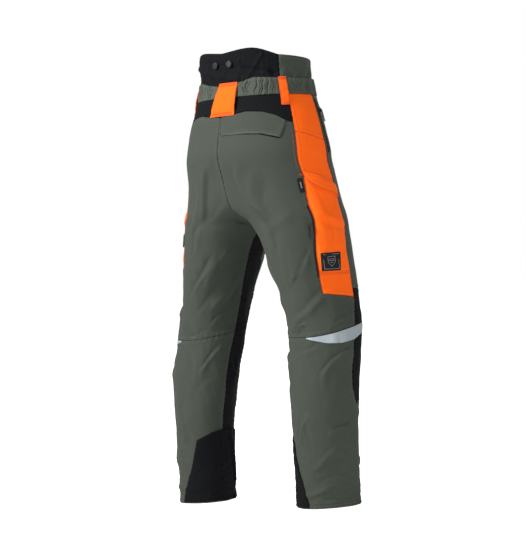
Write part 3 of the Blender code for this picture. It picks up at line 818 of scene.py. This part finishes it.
def leg_panels(word, side):
    hem_edge = level(HEM_H)
    panels = (
        ("seat_cloth", "seat_panel", GREEN,
         [spread(knee_seam, seat_top, seat_inner, side_rear),
          spread(knee_seam, side_low, side_rear, knee_outer)],
         [("low", "top", "a", ("b", 0.552, 2.0)), ("low", "top", "b")], {}),
        ("side_cloth", "side_panel", ORANGE,
         [spread(side_low, level(BAND_LOW), side_rear, side_front)], ALL_ROUND,
         {"seams_on": SIDE_SEAMS, "pucker": 0.35}),
        ("front_cloth", "front_thigh_panel", GREEN,
         [spread(level(0.5605), level(BAND_LOW), side_front, front_inner)], ALL_ROUND, {}),
        ("inner_thigh_cloth", "inner_thigh_panel", BLACK,
         [spread(knee_seam, level(0.7315), inner_front, inner_back)], ALL_ROUND, {}),
        ("shin_cloth", "shin_panel", GREEN,
         [spread(hem_edge, knee_seam, inner_back, shin_side),
          spread(hem_edge, level(0.2797), shin_side, knee_inner)],
         [("top", "a", ("b", 0.2797, 2.0)), ("top", "b")], {"seams_on": HEM_SEAM, "extra": hem}),
        ("inner_shin_cloth", "inner_shin_panel", BLACK,
         [spread(hem_edge, knee_seam, inner_front, inner_back)], [("top", "a", "b")],
         {"extra": hem}),
        ("knee_cloth", "knee_panel", BLACK,
         [spread(level(0.2805), level(0.56), knee_outer, knee_inner)], ALL_ROUND,
         {"seams_on": KNEE_SEAMS}),
    )
    for piece, node, look, grids, edges, settings in panels:
        panel(f"{piece}_{word}", f"{node}_{word}", side, grids, edges, look, knee=word, **settings)

    low = HEM_H + 0.003
    patch_back = edge((0.0, 63), (0.06, 76), (0.12, 94), (0.20, 109))
    patch_top = rim((105, 0.190), (137, 0.208), (165, 0.215), (238, 0.205))
    panel(
        f"ankle_cloth_{word}", f"ankle_patch_{word}", side,
        [spread(level(low), patch_top, at_phi(238), patch_back)], ALL_ROUND, BLACK,
        f"lower_leg_{word}", out=0.0026,
        seams_on=(((157, low), (158, 0.20)), ((230, HEM_H + 0.011), (88, HEM_H + 0.011))),
    )

    def slash_top(phi):
        return knee_seam(phi) - 0.0015

    def slash_low(phi):
        depth = line(phi, ((-43, 0.022), (-12, 0.031), (10, 0.029), (35, 0.020), (70, 0.0015)))
        return slash_top(phi) - depth

    panel(
        f"reflective_cloth_{word}", f"reflective_slash_{word}", side,
        [spread(slash_low, slash_top, at_phi(70), at_phi(-42), 0.003)], [("low", "top")], SILVER,
        knee=word, thick=0.0006, out=0.0019, pucker=0.3, fell=0.0,
    )


def quilting(across, down):
    """Stitched channels that pull a pad down into rows of soft squares."""
    def depth(phi, h, far, along):
        u = (phi + 90) * math.radians(1) * 0.105
        rows = np.abs(np.sin(u * math.pi / across)) * np.abs(np.sin(h * math.pi / down))
        full = np.clip(far / 0.012, 0, 1) ** 0.5
        return 0.0032 * (rows**0.35 * full - 1)
    return depth


def pads(word, side):
    """The cut pads of a leg, inside its front; the lower one is baked in place like the other knee
    pieces.
    """
    thigh_inner = edge((0.0, -134), (0.66, -134), (0.70, -118), (0.755, -100), (0.80, -94))
    shapes = (
        ("thigh", "", (0.566, 0.80), (at_phi(-28), thigh_inner), 0.0062, -0.0132),
        ("shin", word, (0.058, 0.556), (at_phi(-52), at_phi(-136)), 0.0059, -0.0126),
    )
    for part, knee, (low, top), sides, thick, out in shapes:
        pad = panel(
            f"{part}_pad_{word}", f"cut_pad_{part}_{word}", side,
            [spread(level(low), level(top), *sides, 0.005)], ALL_ROUND, PAD,
            knee=knee, thick=thick, out=out, extra=quilting(0.036, 0.045), **FLAT,
        )


# ---------------------------------------------------------------- waist
def gathers(phi, h, far, along):
    """Uneven upright pleats of cloth drawn up by an elastic, deepest in the middle."""
    share = np.clip((h - BAND_LOW) / 0.042, 0, 1)
    drift = 1.6 * np.sin(share * 3.1 + phi * 0.11) + 0.7 * np.sin(share * 7 + phi * 0.31)
    turn = (phi + drift) / 3.9
    wander = turn + 0.32 * np.sin(turn * 1.7) + 0.18 * np.sin(turn * 4.1 + 1)
    pleat = np.abs(np.sin(wander * math.pi))
    fine = np.abs(np.sin(wander * math.pi * 2.3 + 0.7))
    drawn = np.clip((np.abs(((phi + 90) % 360) - 180) - 172) / -14, 0, 1)
    soft = 0.40 + 0.60 * np.sin(np.pi * np.clip(share, 0.04, 0.96))
    size = 0.0085 * (0.70 + 0.30 * np.sin(turn * 0.9 + 2))
    loops = ((93, 13), (26, 7), (154, 7))
    under = np.min([np.clip((np.abs(phi - at) - half) / 5, 0.25, 1) for at, half in loops], axis=0)
    return soft * drawn * under * (size * (pleat**0.5 - 0.52) + 0.0022 * (fine - 0.5))


def waist_creases(phi, h, far, along):
    """Slack creases in the unpadded high back."""
    x, y = phi * math.radians(1) * 0.15, h - 1.13
    out = 0.0050 * np.exp(-np.abs((y + 0.010 + 0.25 * (x - 0.17)) / 0.0055) ** 1.4)
    out += -0.0042 * np.exp(-np.abs((y - 0.004 + 0.20 * (x - 0.24)) / 0.0045) ** 1.4)
    out += 0.0034 * np.exp(-np.abs((x - 0.33 - 0.8 * y) / 0.005) ** 1.4)
    out += 0.0034 * np.exp(-np.abs((x - 0.20 + 0.6 * y) / 0.005) ** 1.4)
    ripple = 0.0030 * np.sin(x * 120 + y * 60 + 2 * np.sin(x * 31))
    out += ripple * np.exp(-((y + 0.03) / 0.018) ** 2)
    return out * np.clip(far / 0.008, 0, 1)


def back_low(phi):
    return band_top(phi) - 0.0050


def window(phi0, phi1, low=1.129, top=1.147):
    """A stitched rectangle where a brace button is sewn on."""
    return (phi0, low), (phi1, low), (phi1, top), (phi0, top), (phi0, low)


def waist():
    back_seams = (
        ((66, 1.095), (74, 1.163)), ((92, 1.090), (90, 1.163)), ((109, 1.090), (111, 1.165)),
        ((135.5, 1.096), (135.5, 1.168)), ((44.5, 1.096), (44.5, 1.168)),
        window(71, 86), window(94, 109),
    )
    panel(
        "high_back_cloth", "high_back_panel", 1,
        [spread(back_low, back_top, at_phi(28), at_phi(152), 0.003)], ALL_ROUND, BLACK,
        out=-0.0022, whole=True, seams_on=back_seams, extra=waist_creases,
    )
    tip = rim((-80, 1.102), (-60, 1.120), (-35, 1.142), (28, 1.152))
    for word, side in SIDES:
        panel(
            f"side_waist_cloth_{word}", f"side_waist_panel_{word}", side,
            [spread(level(1.0895), tip, at_phi(-80), at_phi(28.2), 0.003)], ALL_ROUND, GREEN,
            out=-0.0022, extra=waist_creases,
        )
    panel(
        "yoke_cloth", "back_yoke", 1, [spread(yoke_low, level(BAND_LOW), at_phi(22), at_phi(158))],
        ALL_ROUND, BLACK, whole=True,
    )
    panel(
        "gathered_waistband", "waistband_casing", 1,
        [spread(level(BAND_LOW), band_top, at_phi(-89.6), at_phi(269.6), 0.0018)], ALL_ROUND, RIB,
        thick=0.0016, whole=True, extra=gathers, pucker=0.5,
    )
    panel(
        "elastic_web", "waist_elastic", 1,
        [spread(level(1.056), level(1.078), at_phi(-20), at_phi(200))], [()], ELASTIC,
        thick=0.0020, out=-0.0085, whole=True, **FLAT,
    )


def between(corners, share, up):
    """(phi, h) at a share across and a share up between corners low a, low b, top a, top b."""
    low_a, low_b, top_a, top_b = (np.array(corner, float) for corner in corners)
    return (low_a + (low_b - low_a) * share) * (1 - up) + (top_a + (top_b - top_a) * share) * up


def strap(corners, columns, rows):
    """(phi, h) grid between four corners."""
    across, up = np.meshgrid(np.linspace(0, 1, columns), np.linspace(0, 1, rows))
    found = between(corners, across[..., None], up[..., None])
    return found[..., 0], found[..., 1]


STITCH = 0.0028                 # one stitch and its gap
STITCH_SAMPLES = 160            # points along a row of stitches
STITCH_PROFILE = ((0.0, 0.25), (0.15, 0.85), (0.5, 1.0), (0.85, 0.85), (1.0, 0.25))
HEXAGON = [(math.cos(a), math.sin(a)) for a in np.linspace(0, 2 * math.pi, 7)[:-1]]


def stitch_row(spots, side, out, whole=False, thick=0.0005, length=0.75, calm=0.0):
    """Capsule-shaped stitches end to end along a polyline of (phi, h)."""
    spots = np.array(spots, float)
    fine = np.linspace(0, len(spots) - 1, STITCH_SAMPLES)
    phi, h = (np.interp(fine, range(len(spots)), spots[:, k]) for k in range(2))
    points, normal = cloth(phi, h, side, 0.0, whole, calm)
    points = points + normal * out
    run = np.concatenate([[0], np.cumsum(np.linalg.norm(np.diff(points, axis=0), axis=1))])
    count = max(1, int(run[-1] / STITCH))
    verts, faces = [], []
    for k in range(count):
        low, high = (k + (1 - length) / 2) / count, (k + (1 + length) / 2) / count
        ends = [np.array([np.interp(s * run[-1], run, points[:, c]) for c in range(3)])
                for s in (low, high)]
        n = normal[int((low + high) / 2 * (STITCH_SAMPLES - 1))]
        axis = ends[1] - ends[0]
        side_way = np.cross(axis, n)
        side_way /= np.linalg.norm(side_way)
        start = len(verts)
        for share, size in STITCH_PROFILE:
            centre = ends[0] + axis * share + n * thick * 0.6 * math.sin(math.pi * share)
            verts += [centre + (side_way * a + n * b * 0.8) * thick * size for a, b in HEXAGON]
        for i in range(len(STITCH_PROFILE) - 1):
            for j in range(6):
                a, b = start + i * 6 + j, start + i * 6 + (j + 1) % 6
                faces.append((a, b, b + 6, a + 6))
        faces.append(tuple(start + j for j in range(5, -1, -1)))
        faces.append(tuple(start + (len(STITCH_PROFILE) - 1) * 6 + j for j in range(6)))
    return verts, faces


def sewn(name, rows, look, body="trousers"):
    """One piece made of many rows of stitches."""
    verts, faces = [], []
    for more, sides in rows:
        faces += [tuple(k + len(verts) for k in face) for face in sides]
        verts += more
    obj = new_object(name, verts, faces)
    obj.data.materials.append(look)
    keep(obj, "", body)


def belt_loop(name, node, side, corners, stand, whole=False):
    """A raised strap, stitched down in two rows at each end."""
    wide = abs(corners[1][0] - corners[0][0]) * 0.0026
    low, top = corners[0][1], corners[2][1]

    def arch(phi, h, far, along):
        up = np.clip((h - low) / (top - low), 0, 1)
        raised = np.clip((np.minimum(up, 1 - up) - 0.10) / 0.35, 0, 1)
        rise = stand * np.sin(raised * np.pi / 2) ** 0.8
        return rise + 0.0005 * np.sin(up * 23 + phi * 0.5) * raised

    panel(name, node, side, [strap(corners, max(6, int(wide / 0.0024)), 34)], [("a", "b")], ORANGE,
          thick=0.0016, out=0.0024, whole=whole, extra=arch, **FLAT)
    rows = []
    for up in (0.035, 0.085, 0.915, 0.965):
        ends = [between(corners, share, up) for share in (0.08, 0.92)]
        rows.append(stitch_row(ends, side, 0.0045, whole, thick=0.0008, calm=1.0))
    sewn(f"{name}_stitching", rows, RED_THREAD)


def belt_loops():
    back = ((80, 1.006), (103, 1.006), (87, 1.089), (106, 1.089))
    belt_loop("back_loop_strap", "belt_loop_back", 1, back, 0.0060, whole=True)
    for word, side in SIDES:
        corners = ((22.5, 1.024), (31.5, 1.024), (21.5, 1.096), (30.5, 1.096))
        belt_loop(f"side_loop_strap_{word}", f"belt_loop_side_{word}", side, corners, 0.0055)


# ---------------------------------------------------------------- pockets and labels
def pouch_out(phi, h):
    """How far the cargo pouch stands out from the side panel."""
    rear, front = side_rear(h) - 2.0, side_front(h) + 2.5
    across = np.clip((phi - front) / (rear - front), 0, 1)
    up = np.clip((h - 0.598) / 0.06, 0, 1)
    return 0.0030 + 0.0085 * np.sin(np.pi * across) ** 0.55 * np.sin(np.pi / 2 * up) ** 0.7


def rear_fullness(phi, h):
    """Where the pouch sags open: 1 along its rear edge, 0 at its sewn edges and its front."""
    rear = np.clip((phi - 4) / 12, 0, 1) * np.clip((26 - phi) / 4, 0, 1)
    return rear * np.clip((h - 0.60) / 0.04, 0, 1) * np.clip((0.80 - h) / 0.03, 0, 1)


def pocket_sag(phi, h, far, along):
    """Pouch fullness with a few slack diagonal folds."""
    x = phi * math.radians(1) * 0.12
    folds = 0.0026 * np.exp(-(((h - 0.735 - 0.35 * x) / 0.010) ** 2))
    folds -= 0.0022 * np.exp(-(((h - 0.715 - 0.30 * x) / 0.008) ** 2))
    folds += 0.0020 * np.exp(-(((h - 0.672 + 0.25 * x) / 0.012) ** 2))
    folds -= 0.0016 * np.exp(-(((x - 0.012 - 0.15 * (h - 0.7)) / 0.007) ** 2))
    return (pouch_out(phi, h) - 0.0012 + 0.0034 * rear_fullness(phi, h)
            + folds * np.clip(far / 0.012, 0, 1))


def side_pockets(word, side):
    slack = 0.0062 if side > 0 else 0.0    # the left pouch hangs fuller in the photo

    def pouch_shape(phi, h, far, along):
        return pocket_sag(phi, h, far, along) + slack * rear_fullness(phi, h)

    panel(
        f"cargo_pouch_{word}", f"cargo_pocket_{word}", side,
        [spread(level(0.598), lambda phi: cargo_flap_low(phi) + 0.008,
                lambda x: side_rear(x) - 0.7, lambda x: side_front(x) + 1.0, 0.003)],
        [("low", "a", "b")], ORANGE, extra=pouch_shape, pucker=0.4, fell=0.3,
        seams_on=(((24, 0.6045), (-30, 0.6045)),),
    )

    def over(phi, h, far, along):
        """The flap stands over the pouch, more towards its free edge."""
        share = (h - cargo_flap_low(phi)) / (cargo_flap_top(phi) - cargo_flap_low(phi))
        down = np.clip((1.0 - share) / 0.35, 0, 1) ** 0.6
        rise = np.clip((phi + 14.5) / 36.5, 0, 1)
        return (0.0022 + 0.0080 * np.sin(np.pi * rise) ** 0.5) * down

    flap = f"cargo_flap_{word}"
    panel(
        f"cargo_flap_cloth_{word}", flap, side,
        [spread(cargo_flap_low, cargo_flap_top, at_phi(22), at_phi(-14.5), 0.0026)],
        [("top", "a", "b")], ORANGE, flap, thick=0.0013, out=0.0023, extra=over, pucker=0.4,
        fell=0.5,
        seams_on=(((22, 0.845), (18, 0.826), (10, 0.813), (0, 0.805), (-8, 0.799), (-14, 0.796)),),
    )
    rows = []
    for lift in (0.0, 0.0012):
        spots = [(p, float(cargo_flap_low(p)) + 0.0007 + lift) for p in (20, 12, 6, 0, -6, -12)]
        heights = [float(over(np.float64(p), np.float64(z), 0, 0)) for p, z in spots]
        rows.append(stitch_row(spots, side, 0.0036 + float(np.mean(heights)), thick=0.00045))
    sewn(f"flap_edge_stitching_{word}", rows, RED_THREAD, flap)

    tacks = [
        stitch_row(((phi0, h + lift), (phi1, h + lift)), side, 0.0020, thick=0.0006, length=0.95)
        for phi0, phi1, h in ((25.6, 22.2, 0.8465), (25.8, 22.6, 0.779), (25.6, 22.4, 0.6000))
        for lift in (0.0, 0.0011, 0.0022)
    ]
    sewn(f"bar_tacks_{word}", tacks, RED_THREAD)
    rows = [stitch_row(((phi, 0.955), (phi + 0.01, 0.862)), side, 0.0020, thick=0.0003)
            for phi in (25.0, -15.8)]
    sewn(f"hip_stitching_{word}", rows, RED_THREAD)


def back_pocket():
    side_edge = edge((0.942, 37), (0.984, 29.5))

    def loose(phi, h, far, along):
        return 0.0012 * np.sin(phi * 0.21 + 1) * np.clip((0.975 - h) / 0.02, 0, 1)

    def hang(phi, h, far, along):
        full = np.sin(np.pi * np.clip((82 - phi) / 46, 0, 1)) ** 0.5
        return -0.0080 * full * np.sin(np.pi * np.clip((h - 0.80) / 0.178, 0, 1)) ** 0.5

    flap = "back_pocket_flap_right"
    panel(
        "back_flap_cloth_right", flap, -1,
        [spread(flap_low, lambda phi: yoke_low(phi) - 0.0015, at_phi(88), side_edge, 0.003)],
        [("a", "b")], GREEN, flap, out=0.0021, pucker=0.3, extra=loose,
        seams_on=(((88, 0.9595), (66, 0.9595), (51, 0.9565), (38, 0.9450)),),
    )
    bag = strap(((82, 0.80), (36, 0.80), (82, 0.978), (36, 0.978)), 40, 50)
    panel("back_pocket_lining", "back_pocket_bag_right", -1, [bag], [("low", "a", "b")], LINING,
          thick=0.0008, out=-0.0032, extra=hang, **FLAT)
    rows = [stitch_row(((37, 0.9555 + lift), (31, 0.975 + lift)), -1, 0.0038, thick=0.0004)
            for lift in (0.0, 0.0016)]
    sewn("back_flap_stitching", rows, GREEN_THREAD, flap)
    # painted shadow: a black strip laid under the flap's lower edge, where the flap shades the
    # pocket opening
    shadow_strip = strap(((56, 0.9535), (37.5, 0.9395), (56, 0.9555), (37.5, 0.9420)), 20, 4)
    panel("back_flap_shadow_strip", "", -1, [shadow_strip], [()], BLACK, thick=0.0008, out=0.0013,
          pucker=0.0, fell=0.0)


# A plain shield outline with three bars, in a frame, in shares across and up the label.
EMBLEM = (
    ((0.10, 0.10), (0.90, 0.10), (0.90, 0.90), (0.10, 0.90), (0.10, 0.10)),
    ((0.30, 0.78), (0.70, 0.78), (0.70, 0.46), (0.50, 0.24), (0.30, 0.46), (0.30, 0.78)),
    ((0.36, 0.64), (0.64, 0.64)),
    ((0.36, 0.55), (0.64, 0.55)),
    ((0.42, 0.45), (0.58, 0.45)),
)


def on_pouch(phi, h, far, along):
    return pocket_sag(phi, h, 0.05, along)


def labels():
    corners = ((23, 0.607), (-3, 0.607), (23, 0.651), (-3, 0.653))
    panel("emblem_patch", "emblem_label_right", -1, [strap(corners, 28, 22)], ALL_ROUND, LABEL,
          thick=0.0010, out=0.0018, fell=0.0, pucker=0.2, extra=on_pouch)
    rows = []
    for shape in EMBLEM:
        for a, b in zip(shape[:-1], shape[1:]):
            spots = [between(corners, a[0] + (b[0] - a[0]) * t, a[1] + (b[1] - a[1]) * t)
                     for t in np.linspace(0, 1, 6)]
            lift = np.mean([on_pouch(p, z, 0, 0) for p, z in spots])
            rows.append(stitch_row(spots, -1, 0.0032 + float(lift), length=1.0))
    sewn("emblem_threads", rows, GREY_THREAD)
    corners = ((30.5, 0.803), (25.5, 0.804), (29.5, 0.838), (24.5, 0.839))
    panel("side_flag", "flag_label_right", -1, [strap(corners, 9, 16)], ALL_ROUND, LABEL,
          thick=0.0010, out=0.0019, fell=0.0, pucker=0.0)
    rows = [stitch_row([between(corners, share, up) for up in (0.28, 0.50, 0.74)], -1, 0.0032,
                       thick=0.0006, length=1.0) for share in (0.44, 0.56)]
    sewn("side_flag_threads", rows, GREY_THREAD)


# ---------------------------------------------------------------- zips
ZIP_ROWS, ZIP_COLUMNS = 60, 9
TOOTH_PITCH = 0.0015
TOOTH_FACES = ((0, 1, 3, 2), (4, 6, 7, 5), (0, 4, 5, 1), (2, 3, 7, 6), (0, 2, 6, 4), (1, 5, 7, 3))


def zipper(name, side, low, high, width=0.012, rise=0.0016, whole=False, tooth=0.0024):
    """A crowned tape from one (phi, h) to another, and its closed teeth."""
    share = np.linspace(0, 1, ZIP_ROWS)[:, None]
    phi = low[0] + (high[0] - low[0]) * share
    h = low[1] + (high[1] - low[1]) * share
    middle, normal = cloth(phi, h, side, 0.0, whole, 1.0)
    along = np.gradient(middle[:, 0], axis=0)[:, None]
    along /= np.linalg.norm(along, axis=-1, keepdims=True)
    across = np.cross(along, normal)
    columns = np.linspace(-1, 1, ZIP_COLUMNS)[None, :, None]
    base = middle + across * columns * width / 2
    outer = base + normal * (rise + 0.0009 + 0.0003 * (1 - columns**2))
    inner = base + normal * rise
    flip = np.cross(outer[0, 1] - outer[0, 0], outer[1, 0] - outer[0, 0]) @ normal[0, 0] < 0
    tape = new_object(f"{name}_cloth", np.concatenate([outer.reshape(-1, 3), inner.reshape(-1, 3)]),
                      shell_faces(ZIP_ROWS, ZIP_COLUMNS, flip=flip))
    u, v = np.broadcast_arrays(columns[..., 0], h)
    finish_cloth(tape, [(u * width / 2, v, (1 - np.abs(u)) * width / 2, v)])
    tape.data.materials.append(ZIP_TAPE)
    keep(tape, f"{name}_tape")

    count = int(np.linalg.norm(np.diff(middle[:, 0], axis=0), axis=1).sum() / TOOTH_PITCH)
    verts, faces = [], []
    for k in range(count):
        t = (k + 0.5) / count * (ZIP_ROWS - 1)
        i = min(ZIP_ROWS - 2, int(t))
        centre = middle[i, 0] * (1 - t + i) + middle[i + 1, 0] * (t - i)
        up, out, way = along[i, 0], normal[i, 0], across[i, 0]
        shift = (k % 2 - 0.5) * 0.0008
        faces += [tuple(len(verts) + v for v in face) for face in TOOTH_FACES]
        verts += [
            centre + way * (x * tooth / 2 * (1 - 0.25 * y) + shift)
            + out * (rise + 0.0011 + 0.0007 * y) + up * z * 0.0005
            for z in (-1, 1) for y in (0, 1) for x in (-1, 1)
        ]
    teeth = new_object(f"{name}_teeth", verts, faces, smooth=False)
    teeth.data.materials.append(PLASTIC)
    keep(teeth, "")


def zips():
    zipper("fly_zip", 1, (-90, 0.905), (-90, 1.043), 0.022, rise=0.0030, whole=True, tooth=0.0040)
    for word, side in SIDES:
        zipper(f"slash_zip_{word}", side, (-20, 0.905), (-17, 1.040), 0.017)
        zipper(f"vent_zip_{word}", side, (28.2, 0.592), (28.6, 0.770), 0.005, tooth=0.0018)


def hardware():
    """The moulded CAD parts stay, in black plastic."""
    for name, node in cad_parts.items():
        if name.endswith(("_slider", "_puller")) or "button" in name or "stud" in name:
            node.data.materials.clear()
            node.data.materials.append(PLASTIC)


SIM.update({side: settle(side) for _, side in SIDES})
for word, side in SIDES:
    leg_panels(word, side)
    pads(word, side)
    side_pockets(word, side)
waist()
belt_loops()
back_pocket()
labels()
zips()
hardware()


# ---------------------------------------------------------------- stage, light and camera
WORLD_LIGHT = 0.36              # the world lights less brightly than it shows
CAMERA_TURN, CAMERA_ROLL = math.radians(221), math.radians(-3)
CAMERA_AWAY, CAMERA_Z, LENS = 5.2, -0.456, 135.7
LIGHTS_AIM = Vector((0, 0, -0.45))


def stage():
    """A pale floor and world, both white to the camera."""
    bpy.ops.mesh.primitive_plane_add(size=60, location=(0, 0, HEM_H - WAIST_H - 0.002))
    floor = bpy.context.object
    floor.name = "floor"
    look = Look("pale_floor")
    look.fill(look.shader, {
        "Base Color": (0.9, 0.9, 0.9, 1),
        "Roughness": 0.9,
        "Emission Color": (1, 1, 1, 1),
        "Emission Strength": look.node("ShaderNodeLightPath")["Is Camera Ray"],
    })
    floor.data.materials.append(look.made)
    world = bpy.data.worlds.new("pale_studio")
    bpy.context.scene.world = world
    world.use_nodes = True
    nodes, links = world.node_tree.nodes, world.node_tree.links
    nodes["Background"].inputs["Color"].default_value = (1, 1, 1, 1)
    path = nodes.new("ShaderNodeLightPath")
    strength = nodes.new("ShaderNodeMapRange")
    strength.inputs["To Min"].default_value = WORLD_LIGHT
    strength.inputs["To Max"].default_value = 1.0
    links.new(path.outputs["Is Camera Ray"], strength.inputs["Value"])
    links.new(strength.outputs[0], nodes["Background"].inputs["Strength"])


def area_light(name, place, size, power):
    data = bpy.data.lights.new(name, "AREA")
    data.shape = "SQUARE"
    data.size = size
    data.energy = power
    light = bpy.data.objects.new(name, data)
    bpy.context.scene.collection.objects.link(light)
    light.location = place
    light.rotation_euler = (LIGHTS_AIM - place).to_track_quat("-Z", "Y").to_euler()


def camera():
    """The photo's view, and the lights placed by it."""
    toward = Vector((math.sin(CAMERA_TURN), -math.cos(CAMERA_TURN), 0.0))
    data = bpy.data.cameras.new("camera")
    data.sensor_width = 36
    data.lens = LENS
    view = bpy.data.objects.new("camera", data)
    bpy.context.scene.collection.objects.link(view)
    look = (-toward).to_track_quat("-Z", "Y").to_matrix().to_4x4()
    place = Matrix.Translation(Vector((0, 0, CAMERA_Z)) + toward * CAMERA_AWAY)
    view.matrix_world = place @ look @ Matrix.Rotation(CAMERA_ROLL, 4, "Z")
    bpy.context.scene.camera = view
    right = toward.cross(Vector((0, 0, 1))) * -1
    lights = (
        ("key", toward * 1.35 - right * 2.3, 1.7, 0.8, 160),
        ("back", -toward * 3.0 + right * 0.8, 0.9, 2.5, 45),
        ("fill", toward * 3.0 + right * 2.2, 0.5, 2.2, 44),
    )
    for name, spot, up, size, power in lights:
        area_light(name, spot + Vector((0, 0, up)), size, power)


stage()
camera()
bpy.context.scene.view_settings.view_transform = "Standard"
